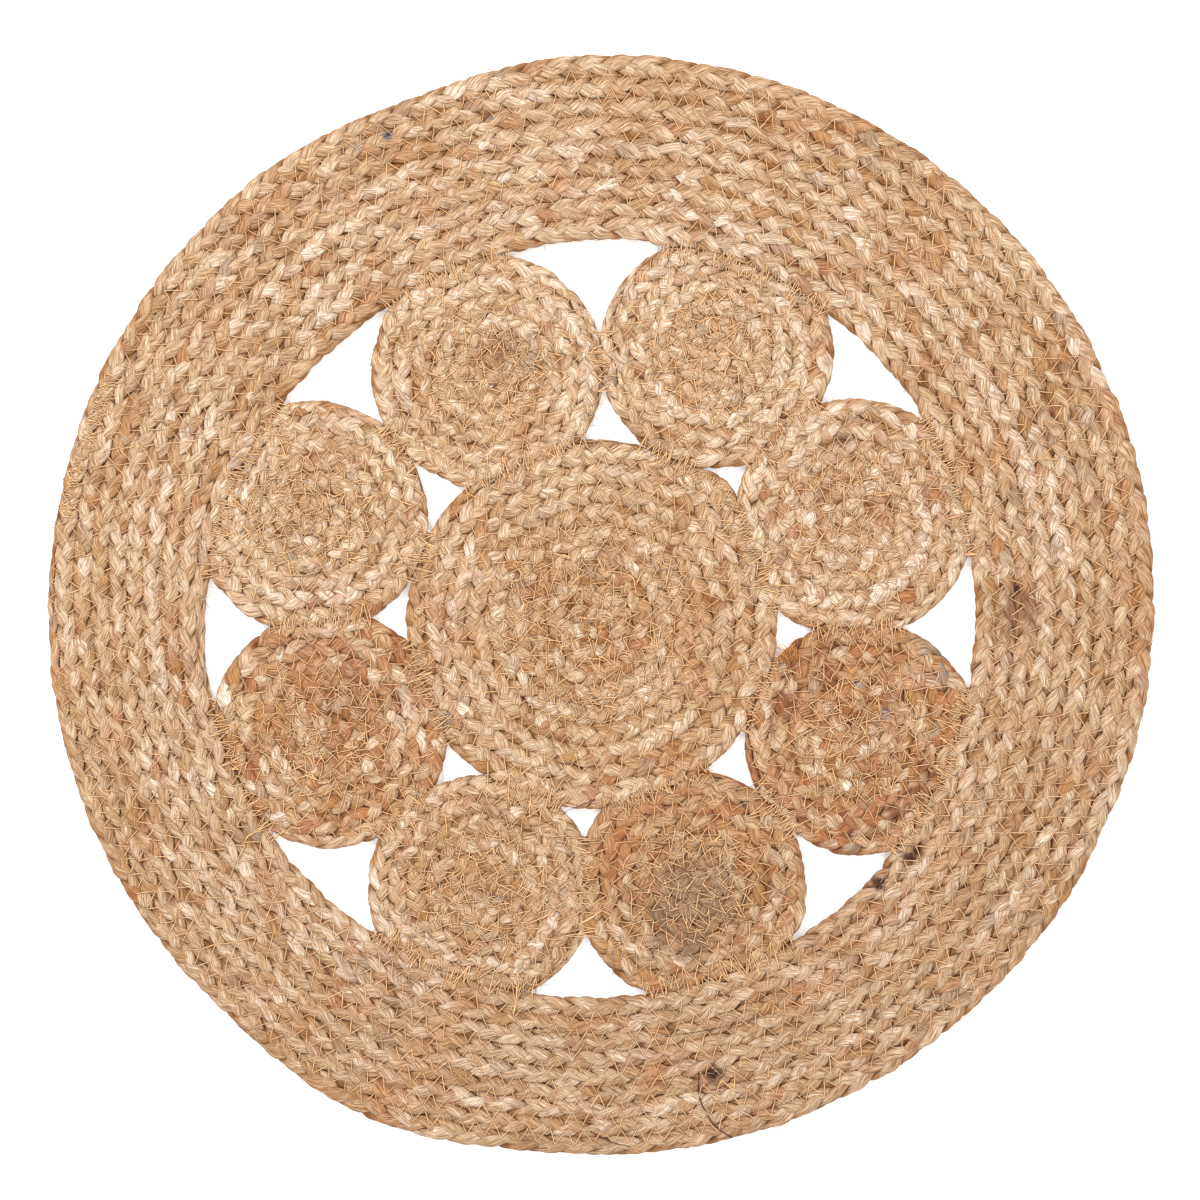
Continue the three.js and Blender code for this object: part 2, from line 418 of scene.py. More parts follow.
def lot_along(coil, line):
    """The straw's lightness, redness and greyness along a coil."""
    light, red, grey = STRAW_LOTS[coil.name]
    light = np.full(len(line.along), light)
    grey = np.full(len(line.along), grey)
    if coil.name == "border":
        low_side = np.clip(np.cos(line.bearing - LOW_SIDE), 0, 1)
        near_rim = ease((np.linalg.norm(line.point, axis=1) - RIM_START) / RIM_WIDTH)
        pale = sum(swelling(line.bearing, *part) for part in PALE_PARTS) * (1 - near_rim)
        light = light - BORDER_LOSS - LOW_SIDE_LOSS * low_side - RIM_LOSS * near_rim + pale
        grey = grey + LOW_SIDE_GREY * low_side
    else:
        light = light - MIDDLE_LOSS * (1 - ease(part_from_centre(coil, line) / MIDDLE_PART))
    return light, red, grey


# ---- Tubes

def tube(centres, wide, thick, sides, roll=0.0, squareness=1.0):
    """Rings of points round a line of centres, each an oval that stands across the line.
    Wide and thick are half measures, by ring or by ring and side. The oval is an ellipse,
    or has flatter faces where squareness is under 1."""
    heading = unit(np.gradient(centres, axis=-2))
    side = left_of(heading)
    up = np.cross(heading, side)
    roll = np.broadcast_to(roll, centres.shape[:-1])[..., None]
    rolled_side = side * np.cos(roll) + up * np.sin(roll)
    rolled_up = up * np.cos(roll) - side * np.sin(roll)
    angle = TURN * np.arange(sides) / sides
    across = np.sign(np.cos(angle)) * np.abs(np.cos(angle)) ** squareness * wide
    above = np.sign(np.sin(angle)) * np.abs(np.sin(angle)) ** squareness * thick
    return (centres[..., None, :] + rolled_side[..., None, :] * across[..., None]
            + rolled_up[..., None, :] * above[..., None])


def fibre_place(radius, angle, along):
    """Places in a fibre's own frame, whose third axis runs along it."""
    return np.stack(np.broadcast_arrays(radius * np.cos(angle), radius * np.sin(angle), along), -1)


def skin(points, place, colour):
    """One batch of tubes: points, places in the fibre's own frame, and colours, each an
    array of tube, ring, side and 3 numbers."""
    return SimpleNamespace(
        points=points,
        place=np.broadcast_to(place, points.shape),
        colour=np.broadcast_to(colour, points.shape),
    )


def braid_tightness(coil, line):
    """A medallion's braid is tighter towards its middle."""
    if coil.name == "border":
        return 1.0
    return CORE_TIGHTNESS + TIGHTNESS_GAIN * part_from_centre(coil, line)


def braid_skins(coil, rng):
    """The line of a whole coil, and its three strands."""
    line = lay_line(coil, (BLUNT_PART - 1) * coil.shift_part,
                    coil.rows - BLUNT_PART * coil.shift_part, RING_SPACING, True)
    size = np.minimum(line.half_width / (ROW_WIDTH / 2), MOST_GROWTH)
    evenness = 1 + stray(line.along, PERIOD_STRAY, rng)
    period = BRAID_PERIOD * braid_tightness(coil, line) * evenness
    phase = TURN * np.cumsum(np.gradient(line.along) / period)
    light, red, grey = lot_along(coil, line)
    lot_tone = stray(line.along, LOT_TONE_STRAY, rng)
    strands = []
    for strand in range(3):
        swing = phase + TURN * strand / 3 + stray(line.along, SWING_STRAY, rng)
        strands.append(strand_skin(coil, line, size, swing, rng, light + lot_tone, red, grey))
    return line, strands


def strand_skin(coil, line, size, swing, rng, tone, red, grey):
    """One strand of a braid: swing is where it is in its crossing over and back."""
    along = line.along
    on_face = np.abs(np.sin(2 * swing))
    crossing = swing / math.pi + 2
    across = size * STRAND_SWING * np.sin(swing) + stray(along, ACROSS_STRAY, rng)
    height = np.sin(2 * swing) + STRAND_STAY
    lift = STRAND_LIFT * height / np.sqrt(height**2 + STRAND_EASE)
    lift = lift + stray(along, LIFT_STRAY, rng)
    centres = np.empty((len(along), 3))
    centres[:, :2] = line.point + line.outward * across[:, None]
    centres[:, 2] = RUG_THICKNESS / 2 + lift * np.sqrt(size)
    fullness = (1 + stray(along, FULLNESS_STRAY, rng)
                + stray(crossing, FULLNESS_BY_CROSSING, rng))
    wide = STRAND_HALF_WIDTH * size * fullness * (EDGE_WIDTH + FACE_WIDTH_GAIN * on_face)
    thick = (STRAND_HALF_THICKNESS * np.sqrt(size) / fullness
             * (EDGE_THICKNESS + FACE_THICKNESS_GAIN * on_face))
    ridges = 1 + stray(along, RIDGE_STRAY, rng, STRAND_SIDES)
    roll = -STRAND_TILT * np.sin(swing) * np.sin(2 * swing) + stray(along, ROLL_STRAY, rng)
    points = tube(centres, wide[:, None] * ridges, thick[:, None] * ridges, STRAND_SIDES, roll,
                  STRAND_SQUARENESS)
    points[..., 2] = np.maximum(points[..., 2], FLOOR_CLEARANCE)

    turned = stray(along, TWIST_STRAY, rng) - FIBRE_SLANT * np.cos(swing)
    twist = TURN * np.arange(STRAND_SIDES) / STRAND_SIDES + turned[:, None]
    place = fibre_place(STRAND_HALF_WIDTH, twist, along[:, None] + FAR * rng.random())

    colour = strand_colour(coil, along, crossing, rng, tone, red, grey)
    return skin(points[None], place[None], colour[None])


def strand_colour(coil, along, crossing, rng, tone, red, grey):
    """Each crossing shows another face of the strand, of another tone."""
    patchiness = BORDER_PATCHINESS if coil.name == "border" else MEDALLION_PATCHINESS + red
    tone = tone + stray(along, STRAND_TONE_STRAY, rng) + stray(crossing, (patchiness, 1), rng)
    tone = tone[:, None] + stray(along, SIDE_TONE_STRAY, rng, STRAND_SIDES)
    patch = wander(crossing, 1, rng)
    russet_patch = RUSSET_PATCHES * np.maximum(patch - RUSSET_RARITY, 0)
    redness = np.minimum(red * (1 + LOT_PATCHINESS * patch) + russet_patch, MOST_REDNESS)
    greyness = grey + GREY_PATCHES * np.maximum(wander(crossing, 1, rng) - GREY_RARITY, 0)
    return straw_colour(tone, redness[:, None], greyness[:, None])


# ---- Height maps

MAP_HALF = 0.42  # the maps reach this far from the rug's centre
MAP_SIZE = 1 + int(2 * MAP_HALF / MAP_CELL)
COVER_REACH = 4  # cells that a smooth cover spans to each side
COVER_BLUR = 3


def widest(heights, reach):
    """The highest value within some cells of each cell, in a square."""
    for axis in (0, 1):
        heights = np.max([np.roll(heights, step, axis) for step in range(-reach, reach + 1)], 0)
    return heights


def blurred(heights, times):
    for _ in range(times):
        for axis in (0, 1):
            heights = (np.roll(heights, 1, axis) + 2 * heights + np.roll(heights, -1, axis)) / 4
    return heights


def cells_of(points):
    """Map coordinates of points, in cells, always short of the last cell."""
    return np.clip((points[..., :2] + MAP_HALF) / MAP_CELL, 0, MAP_SIZE - 1.001)


def face_map(skins):
    """The top of the braids over each cell, and a smooth cover that spans its hollows."""
    heights = np.zeros((MAP_SIZE, MAP_SIZE))
    for one in skins:
        points = one.points
        between = (points[:, :-1] + points[:, 1:]) / 2
        for part in (points, between):
            finer = (part + np.roll(part, 1, axis=2)) / 2
            for dots in (part, finer):
                cell = np.rint(cells_of(dots)).astype(int)
                np.maximum.at(heights, (cell[..., 0], cell[..., 1]), dots[..., 2])
    heights = blurred(widest(heights, 1), 1)
    cover = blurred(widest(heights, COVER_REACH), COVER_BLUR)
    return SimpleNamespace(heights=heights, cover=cover)


def look_up(heights, points):
    """The map's height at points, between its cells."""
    cell = cells_of(points)
    low = np.floor(cell).astype(int)
    part = cell - low
    x, y = low[..., 0], low[..., 1]
    fx, fy = part[..., 0], part[..., 1]
    return ((heights[x, y] * (1 - fx) + heights[x + 1, y] * fx) * (1 - fy)
            + (heights[x, y + 1] * (1 - fx) + heights[x + 1, y + 1] * fx) * fy)


def make_maps(skins):
    """Both faces of the rug. The lower one is kept upside down, as its depth below the
    rug's top."""
    over, up = [1, 1, -1], [0, 0, RUG_THICKNESS]
    flipped = [SimpleNamespace(points=one.points * over + up) for one in skins]
    return {"top": face_map(skins), "bottom": face_map(flipped)}


# Painted shade: straw that lies deep below the smooth cover over the braids, in the hollows
# between strands, has its colour darkened and reddened.
HOLLOW_SHADE_DEPTH = 2.9 * MM  # below the cover, where straw is at its darkest
HOLLOW_SHADE_CURVE = 2.6  # over 1, straw near the cover stays pale
HOLLOW_SHADE_LOSS = np.array([0.42, 0.60, 0.78])


def paint_hollow_shade(one, maps):
    """Painted shade: straw down between the strands is made darker and redder, where shade falls
    in the hollows.
    """
    height = one.points[..., 2]
    below = look_up(maps["top"].cover, one.points) - height
    above = look_up(maps["bottom"].cover, one.points) - (RUG_THICKNESS - height)
    # how deep each point lies in the painted shade of the hollows
    depth = np.clip(np.minimum(below, above) / HOLLOW_SHADE_DEPTH, 0, 1) ** HOLLOW_SHADE_CURVE
    one.colour = one.colour * (1 - depth[..., None] * HOLLOW_SHADE_LOSS)


# ---- Threads

TANGLE_PART = 0.55  # of a medallion's radius, how far its tangle reaches
TANGLE_ROW = 6.5 * MM
TANGLE_AREA = 30 * MM**2  # that each stitch has to itself
TANGLE_REACH = 4.5 * MM
GOLD_THREAD = linear(228, 182, 132)
FACES = {"top": THREAD_SIDES, "bottom": BOBBIN_SIDES}  # the sides of each face's thread
POINTS_PER_STROKE = 8
STITCH_JITTER = 0.15  # of the pitch and the reach
SEAM_START = 0.55  # the turn where a medallion's seam starts
SEAM_SLACK = 0.35 * MM
TANGLE_SLACK = 0.8 * MM
TAUT_POINTS = 5  # over which a taut thread spans the hollows
TAUTNESS = 0.75  # from 0, lying in every hollow, to 1, taut
NEEDLE_DIP = 0.9 * MM
HIDDEN_DIP = 1.1 * MM
THREAD_TONE_STRAY = (0.14, 12 * MM)
HIDDEN_STRAY = (1.5, 18 * MM)
HIDDEN_RARITY = 0.1


def strokes(tips, slack, rng):
    """A thread that goes straight from tip to tip, with a little slack in each stroke.
    Also gives how far each point is along its stroke."""
    part = np.arange(POINTS_PER_STROKE) / POINTS_PER_STROKE
    start, end = tips[:-1, None], tips[1:, None]
    path = start + (end - start) * part[None, :, None]
    across = left_of(np.concatenate([end - start, 0 * end[..., :1]], -1))[..., :2]
    bulge = slack * rng.normal(size=(len(tips) - 1, 1)) * np.sin(math.pi * part)
    path = path + across * bulge[..., None]
    return path.reshape(-1, 2), np.tile(part, len(tips) - 1)


def drape(path, part, maps, face, rng):
    """Lays a thread on one face of the rug. It dips into the straw at each needle hole,
    and runs under the fibres here and there."""
    distance = np.arange(len(path)) * SEAM_STEP
    hidden = ease(stray(distance, HIDDEN_STRAY, rng) - HIDDEN_RARITY)
    level = look_up(maps[face].heights, path)
    margin = TAUT_POINTS - 1
    padded = np.pad(level, margin, mode="edge")
    windows = [padded[step:step + len(level) + margin] for step in range(TAUT_POINTS)]
    taut = np.convolve(np.max(windows, axis=0), np.ones(TAUT_POINTS) / TAUT_POINTS, "valid")
    level = (1 - TAUTNESS) * level + TAUTNESS * taut + THREAD_RADIUS
    from_hole = np.minimum(part, 1 - part) * POINTS_PER_STROKE
    level = level - NEEDLE_DIP * np.exp(-from_hole) - HIDDEN_DIP * hidden
    level = np.maximum(level, THREAD_RADIUS)
    if face == "bottom":
        level = np.maximum(RUG_THICKNESS - level, THREAD_RADIUS)
    return np.column_stack([path, level])


def thread_skin(centres, radius, sides, rng, colour=GOLD_THREAD):
    along = np.arange(len(centres)) * SEAM_STEP
    points = tube(centres, radius, radius, sides)
    place = fibre_place(radius, TURN * np.arange(sides) / sides, along[:, None])
    tone = 1 + stray(along, THREAD_TONE_STRAY, rng)
    return skin(points[None], place[None], (colour * tone[:, None])[None, :, None])


def sewn(tips, slack, face, maps, rng):
    """The thread from tip to tip on one face of the rug."""
    path, part = strokes(tips, slack, rng)
    return thread_skin(drape(path, part, maps, face, rng), THREAD_RADIUS, FACES[face], rng)


def seam_tips(line, pitch, reach, jitter, rng):
    """Needle holes on alternate sides of a line."""
    length = line.along[-1]
    count = max(3, int(length / pitch))
    places = np.linspace(0, length, count) + jitter * pitch * rng.normal(size=count)
    places = np.clip(places, 0, length)
    side = np.where(np.arange(count) % 2 == 0, 1, -1) * reach
    side = side * (1 + jitter * rng.normal(size=count))
    side = np.minimum(side, np.interp(places, line.along, line.room))
    outward = points_at(places, line.along, line.outward)
    return points_at(places, line.along, line.point) + outward * side[:, None]


def zigzag_skins(line, maps, rng, pitch=STITCH_PITCH, reach=STITCH_REACH, jitter=STITCH_JITTER):
    """A seam's needle thread on top, and its bobbin thread underneath."""
    return [sewn(seam_tips(line, pitch, reach, jitter, rng), SEAM_SLACK, face, maps, rng)
            for face in FACES]


def passes_of_zigzag(line, passes, maps, rng):
    """Close oversewing: one zigzag after another along the same line."""
    return [one for each in passes for one in zigzag_skins(line, maps, rng, *each)]


def tangle_skins(coil, maps, rng):
    """The close stitches over the start of a coil, where the sewing begins. They wind
    outward but point every way."""
    reach = TANGLE_PART * coil.radius
    count = int(math.pi * reach**2 / TANGLE_AREA)
    part = (np.arange(count) + 1) / count
    bearing = TURN * (rng.random() - reach / TANGLE_ROW * np.sqrt(part))
    spiral = coil.centre + bearing_vector(bearing) * reach * np.sqrt(part)[:, None]
    made = []
    for face in FACES:
        tips = spiral + TANGLE_REACH * rng.normal(size=(count, 2))
        made.append(sewn(tips, TANGLE_SLACK, face, maps, rng))
    return made


JOINT_PLACES = 60  # on the line of each joint between medallions


def open_line(along, point, outward, room=FAR):
    """A line for stitches, with the same room on its outward side everywhere."""
    room = np.full(len(along), room)
    return SimpleNamespace(along=along, point=point, outward=outward, room=room)


def straight_line(middle, bearing, half_length):
    """A straight line of places across one bearing."""
    across = bearing_vector(np.array(bearing + math.pi / 2))
    along = np.linspace(0, 2 * half_length, JOINT_PLACES)
    point = middle + across * (along - half_length)[:, None]
    outward = np.broadcast_to(bearing_vector(np.array(bearing)), point.shape)
    return open_line(along, point, outward)


CONTACT_SEARCH = 25  # degrees each way round, past any contact's end
CONTACT_PLACES = 501
CONTACT_MARGIN = 1 * MM  # how close to the border counts as touching


def border_contact(coil):
    """The curved line where a medallion meets the border."""
    bearing = math.atan2(coil.centre[1], coil.centre[0])
    angle = bearing + np.radians(np.linspace(CONTACT_SEARCH, -CONTACT_SEARCH, CONTACT_PLACES))
    point = bearing_vector(angle) * border_inner_edge(angle)[:, None]
    touching = np.linalg.norm(point - coil.centre, axis=1) < coil.radius + CONTACT_MARGIN
    point, angle = point[touching], angle[touching]
    return open_line(distances_along(point), point, bearing_vector(angle))


# ---- Marks: stains, knots and loose threads

SMOKE = linear(146, 148, 150)
SLATE = linear(84, 96, 104)
SOOT = linear(74, 42, 24)
RUST = linear(122, 66, 30)
EARTH = linear(142, 94, 60)
ASH = linear(134, 109, 84)
CHALK = linear(250, 240, 220)

# The stains of each colour: their place and reach in millimetres, and how strong they are.
# Where two lie over each other, the later one covers the earlier.
STAINS = [
    (SLATE, [(-154, 340, 5, 0.9), (-80, 353, 3, 0.7)]),
    (SOOT, [(82, -343, 10, 0.75), (224, -186, 7, 0.95), (231, -180, 7, 0.95),
            (202, -204, 8, 0.95), (303, 8, 6, 0.9), (176, 118, 6, 0.6), (152, 96, 5, 0.5)]),
    (RUST, [(238, -123, 10, 0.85), (234, -112, 7, 0.5), (231, -138, 10, 0.85),
            (214, -153, 10, 0.85), (180, -164, 11, 0.75), (198, -166, 9, 0.5),
            (-72, 184, 16, 0.6), (-90, 180, 9, 0.4), (133, -75, 14, 0.85),
            (166, -58, 11, 0.75), (172, -30, 8, 0.5), (180, -80, 14, 0.4),
            (-60, 15, 9, 0.5), (40, -16, 8, 0.4), (-186, -65, 30, 0.35)]),
    (SMOKE, [(-178, 330, 4, 0.7), (187, -60, 4, 0.8), (207, -82, 5, 0.6)]),
    (CHALK, [(191, -107, 4, 0.8), (273, 203, 4, 0.8)]),
    (ASH, [(69, -219, 44, 0.6), (45, -226, 14, 0.6), (64, -252, 13, 0.7), (42, -248, 12, 0.6),
           (90, -190, 9, 0.5), (95, -230, 9, 0.6), (-50, -392, 14, 0.4)]),
    (EARTH, [(304, -4, 19, 0.85), (297, -22, 12, 0.7), (62, -192, 10, 0.5),
             (-20, -325, 12, 0.5)]),
]
STAIN_EDGE = 1.6  # over 1, a stain is even in its middle
STAIN_FRAY = 0.25
FRAY_LENGTH = 2.1 * MM

KNOTS = [(82, -343), (303, 9), (225, -185), (230, -181), (204, -203)]
KNOT_RADIUS = 1.6 * MM
KNOT_TURNS = 24  # of the thread, each some way round the wad
KNOT_POINTS = 3  # of the thread, in each turn
KNOT_BLUR = 4  # points that round its bends
KNOT_THREAD_RADIUS = 0.25 * MM
WAVER = 0.3 * MM  # how far loose threads and knots stray
DARK_THREAD = linear(78, 42, 22)
GREY_HAIR = linear(150, 142, 136)

# Loose threads, from start to end past a bow, in millimetres, with colour and radius.
LOOSE_THREADS = [
    ((72, -341), (66, -371), (96, -390), DARK_THREAD, 0.32),
    ((10, 309), (30, 333), (50, 298), GOLD_THREAD, 0.32),
    ((-78, 37), (-70, 62), (-56, 16), GOLD_THREAD, 0.30),
    ((6, 8), (28, 14), (-2, -14), GOLD_THREAD, 0.30),
    ((140, -18), (151, -36), (126, -48), GREY_HAIR, 0.15),
    ((-28, -154), (-14, -147), (-4, -143), DARK_THREAD, 0.15),
    ((-6, -245), (-13, -272), (6, -262), GREY_HAIR, 0.15),
    ((8, -248), (10, -262), (9, -284), GREY_HAIR, 0.2),
    ((8, -252), (52, -222), (16, -236), GOLD_THREAD, 0.30),
    ((-8, -384), (6, -393), (22, -396), DARK_THREAD, 0.22),
    ((46, -315), (86, -312), (116, -300), DARK_THREAD, 0.15),
]
LOOSE_POINTS = 26
LOOSE_SINK = 0.2 * MM  # into the straw
LOOSE_DROP = 2.5 * MM  # how far below the top one may hang over a gap

# The tuft's fibres fan out round one bearing, curving as they go.
TUFT_PLACE = np.array([137, -45]) * MM
TUFT_BEARING = math.radians(80)
TUFT_WIDTH = 1.8 * MM
TUFT_LENGTHS = (7.8 * MM, 14.3 * MM)
TUFT_HEIGHT = 1.5 * MM
TUFT_SPREAD = 0.5
TUFT_CURL = 0.5
TUFT_DROOP = 0.3
TUFT_POINTS = 8
TUFT_FIBRES = 80
TUFT_FIBRE_RADIUS = 0.16 * MM
TUFT_COLOUR = linear(250, 172, 96)


def stain(one):
    """Darkened or discoloured straw, with a frayed outline."""
    spots = one.points[..., :2]
    fray = 1 + STAIN_FRAY * np.sin(spots.sum(axis=-1) / FRAY_LENGTH)
    for colour, places in STAINS:
        for x, y, reach, strength in places:
            away = np.linalg.norm(spots - np.array([x, y]) * MM, axis=-1) / (reach * MM)
            amount = strength * ease(STAIN_EDGE * (1 - away * fray))
            one.colour = one.colour + (colour - one.colour) * amount[..., None]


def loose_thread_skins(maps, rng):
    """Threads that lie loose on the rug, each on one bowed curve."""
    made = []
    part = np.linspace(0, 1, LOOSE_POINTS)[:, None]
    for start, bow, end, colour, radius in LOOSE_THREADS:
        start, bow, end = (np.array(place) * MM for place in (start, bow, end))
        path = start * (1 - part) ** 2 + 2 * bow * part * (1 - part) + end * part**2
        path = path + stray(np.arange(LOOSE_POINTS), (WAVER, 3), rng, 2)
        level = look_up(maps["top"].heights, path) - LOOSE_SINK
        level = np.maximum(level, RUG_THICKNESS - LOOSE_DROP)
        centres = np.column_stack([path, level + radius * MM])
        made.append(thread_skin(centres, radius * MM, THREAD_SIDES, rng, colour))
    return made


def knot_skins(maps, rng):
    """Wads of dark thread."""
    rounding = np.ones(KNOT_BLUR) / KNOT_BLUR
    made = []
    for place in KNOTS:
        path = np.array(place) * MM + KNOT_RADIUS * rng.normal(size=(KNOT_TURNS, 2))
        path = np.repeat(path, KNOT_POINTS, axis=0)
        path = np.stack([np.convolve(one, rounding, "valid") for one in path.T], -1)
        level = look_up(maps["top"].heights, path) + WAVER * rng.normal(size=len(path))
        centres = np.column_stack([path, level])
        made.append(thread_skin(centres, KNOT_THREAD_RADIUS, THREAD_SIDES, rng, DARK_THREAD))
    return made


def tuft_skins(rng):
    """The frayed orange end of a braid, between the fourth medallion and its neighbours."""
    made = []
    part = np.linspace(0, 1, TUFT_POINTS)[:, None]
    for _ in range(TUFT_FIBRES):
        bearing = TUFT_BEARING + TUFT_SPREAD * rng.normal()
        start = TUFT_PLACE + TUFT_WIDTH * rng.normal(size=2)
        length = rng.uniform(*TUFT_LENGTHS)
        path = start + length * part * bearing_vector(bearing + TUFT_CURL * part[:, 0])
        level = RUG_THICKNESS + rng.uniform(-TUFT_HEIGHT, TUFT_HEIGHT) * (1 - TUFT_DROOP * part)
        centres = np.column_stack([path, level])
        made.append(thread_skin(centres, TUFT_FIBRE_RADIUS, BOBBIN_SIDES, rng, TUFT_COLOUR))
    return made


# The coils whose outer end shows, from one bearing to another in degrees. It is sewn down
# in two passes, each with its pitch, reach and jitter.
END_BEARINGS = {"border": (155, 171), "centre_medallion": (38, 58)}
END_INSET = 6 * MM
END_ROOM = 3.5 * MM
END_PLACES = 400
END_PASSES = [(1.8 * MM, END_INSET, 0.45), (2.4 * MM, END_INSET, 0.8)]


def end_sewing(coil, maps, rng):
    """The dense stitches that wrap the outer end of a coil's braid."""
    angle = np.radians(np.linspace(*END_BEARINGS[coil.name], END_PLACES))
    radius = edge_radius(coil, angle, coil.rows) - END_INSET
    point = coil.centre + bearing_vector(angle) * radius[:, None]
    line = open_line(distances_along(point), point, bearing_vector(angle), END_ROOM)
    return passes_of_zigzag(line, END_PASSES, maps, rng)


# ---- Loose fibres

FIBRES_PER_METRE = 340  # of braid
FIBRE_RADIUS = 0.15 * MM
FIBRE_SIDES = 4
FIBRE_TAPER = np.array([1, 1, 1, 0.9, 0.7, 0.3])
FIBRE_LENGTHS = (5 * MM, 16 * MM)
FIBRE_LEAN = 0.6  # from the strand's own direction, in radians
FIBRE_BEND = 0.35  # how far the tip strays to one side, of the length
FIBRE_RISE = 0.08  # and off the strand
STANDING_PART = 0.03  # of the fibres, how many stand off,
STANDING_RISE = 0.35  # and by how much more
FIBRE_ROOT = 0.02  # how much of its length starts inside the strand
FIBRE_LEVELS = (0.2 * MM, RUG_THICKNESS + 3 * MM)
PALE_LOOSE_FIBRE = linear(240, 216, 184)
GOLD_LOOSE_FIBRE = linear(150, 104, 62)


def fibre_skin(line, strands, per_metre, rng):
    """Fibres that have worked out of the straw: most lie on it, and some stand off."""
    count = int(per_metre * line.along[-1])
    points = np.stack([one.points[0] for one in strands])
    strand = rng.integers(0, len(strands), count)
    ring = rng.integers(1, points.shape[1] - 1, count)
    side = rng.integers(0, STRAND_SIDES, count)
    root = points[strand, ring, side]
    outward = unit(root - points[strand, ring].mean(axis=1))
    heading = unit(points[strand, ring + 1, side] - points[strand, ring - 1, side])
    across = np.cross(outward, heading)
    lean = rng.normal(0, FIBRE_LEAN, count)[:, None]
    going = (heading * np.cos(lean) + across * np.sin(lean)) * rng.choice([-1, 1], count)[:, None]
    length = rng.uniform(*FIBRE_LENGTHS, count)[:, None, None]
    rise = np.abs(rng.normal(0, FIBRE_RISE, count))
    rise = rise + STANDING_RISE * (rng.random(count) < STANDING_PART)
    bend = rng.normal(0, FIBRE_BEND, count)[:, None, None]
    part = np.linspace(0, 1, len(FIBRE_TAPER))[None, :, None]
    centres = root[:, None] + length * (
        going[:, None] * part
        + across[:, None] * bend * part**2
        + outward[:, None] * (rise[:, None, None] * part - FIBRE_ROOT)
    )
    centres[..., 2] = np.clip(centres[..., 2], *FIBRE_LEVELS)
    radius = FIBRE_RADIUS * FIBRE_TAPER[:, None]
    tone = rng.random(count)[:, None, None, None]
    colour = PALE_LOOSE_FIBRE + (GOLD_LOOSE_FIBRE - PALE_LOOSE_FIBRE) * tone
    return skin(tube(centres, radius, radius, FIBRE_SIDES), np.zeros(3), colour)


# ---- Meshes

def cap_quads(sides):
    """Quads that fill a ring of points."""
    j = np.arange(sides // 2 - 1)
    return np.stack([j, j + 1, sides - 2 - j, sides - 1 - j], -1)


def tube_faces(count, rings, sides, first_point, first_strip, layout):
    """Corner numbers and bake coordinates of all the quads of some tubes."""
    index = first_point + np.arange(count * rings * sides).reshape(count, rings, sides)
    here, there = index[:, :-1], index[:, 1:]
    walls = np.stack([here, np.roll(here, -1, 2), np.roll(there, -1, 2), there], -1)
    strip = first_strip + np.arange(count * (rings - 1)).reshape(count, rings - 1)
    row, column = strip // layout.per_row, strip % layout.per_row
    side = np.arange(sides)
    u = np.stack([column, column, column + 1, column + 1], -1)[:, :, None, :]
    v = np.stack([side, side + 1, side + 1, side], -1)[None, None]
    wall_uv = bake_place(u, v / sides, row[:, :, None, None], layout)

    cap = cap_quads(sides)
    starts = index[:, 0][:, cap[:, ::-1]]
    start_uv = bake_place(column[:, :1, None], cap[None, :, ::-1] / sides,
                          row[:, :1, None], layout)
    ends = index[:, -1][:, cap]
    end_uv = bake_place(column[:, -1:, None] + 1, cap[None] / sides, row[:, -1:, None], layout)
    corners = np.concatenate([part.reshape(-1, 4) for part in (walls, starts, ends)])
    uv = np.concatenate([part.reshape(-1, 4, 2) for part in (wall_uv, start_uv, end_uv)])
    return corners, uv


BAKE_MARGIN = 0.01  # of the bake's square
STRIP_MARGIN = 0.08  # of a row of strips


def bake_place(column, around, row, layout):
    """Every tube is cut into strips, laid in rows across the square."""
    u = BAKE_MARGIN + (1 - 2 * BAKE_MARGIN) * column / (layout.per_row + 1)
    v = (row + STRIP_MARGIN + (1 - 2 * STRIP_MARGIN) * around) / layout.rows
    return np.stack(np.broadcast_arrays(u, v), -1)


def bake_layout(skins, shape):
    """How many rows of strips give each strip about its own proportions. Shape is a
    strip's length over the way round its tube."""
    strips = sum(s.points.shape[0] * (s.points.shape[1] - 1) for s in skins)
    rows = max(1, round(math.sqrt(strips * shape)))
    return SimpleNamespace(rows=rows, per_row=math.ceil(strips / rows))


def gathered(skins, what):
    """One property of all the points of some skins, a row for each point."""
    return np.concatenate([getattr(one, what).reshape(-1, 3) for one in skins])


def fill(collection, field, values, kind=np.float32):
    collection.foreach_set(field, np.asarray(values, dtype=kind).ravel())


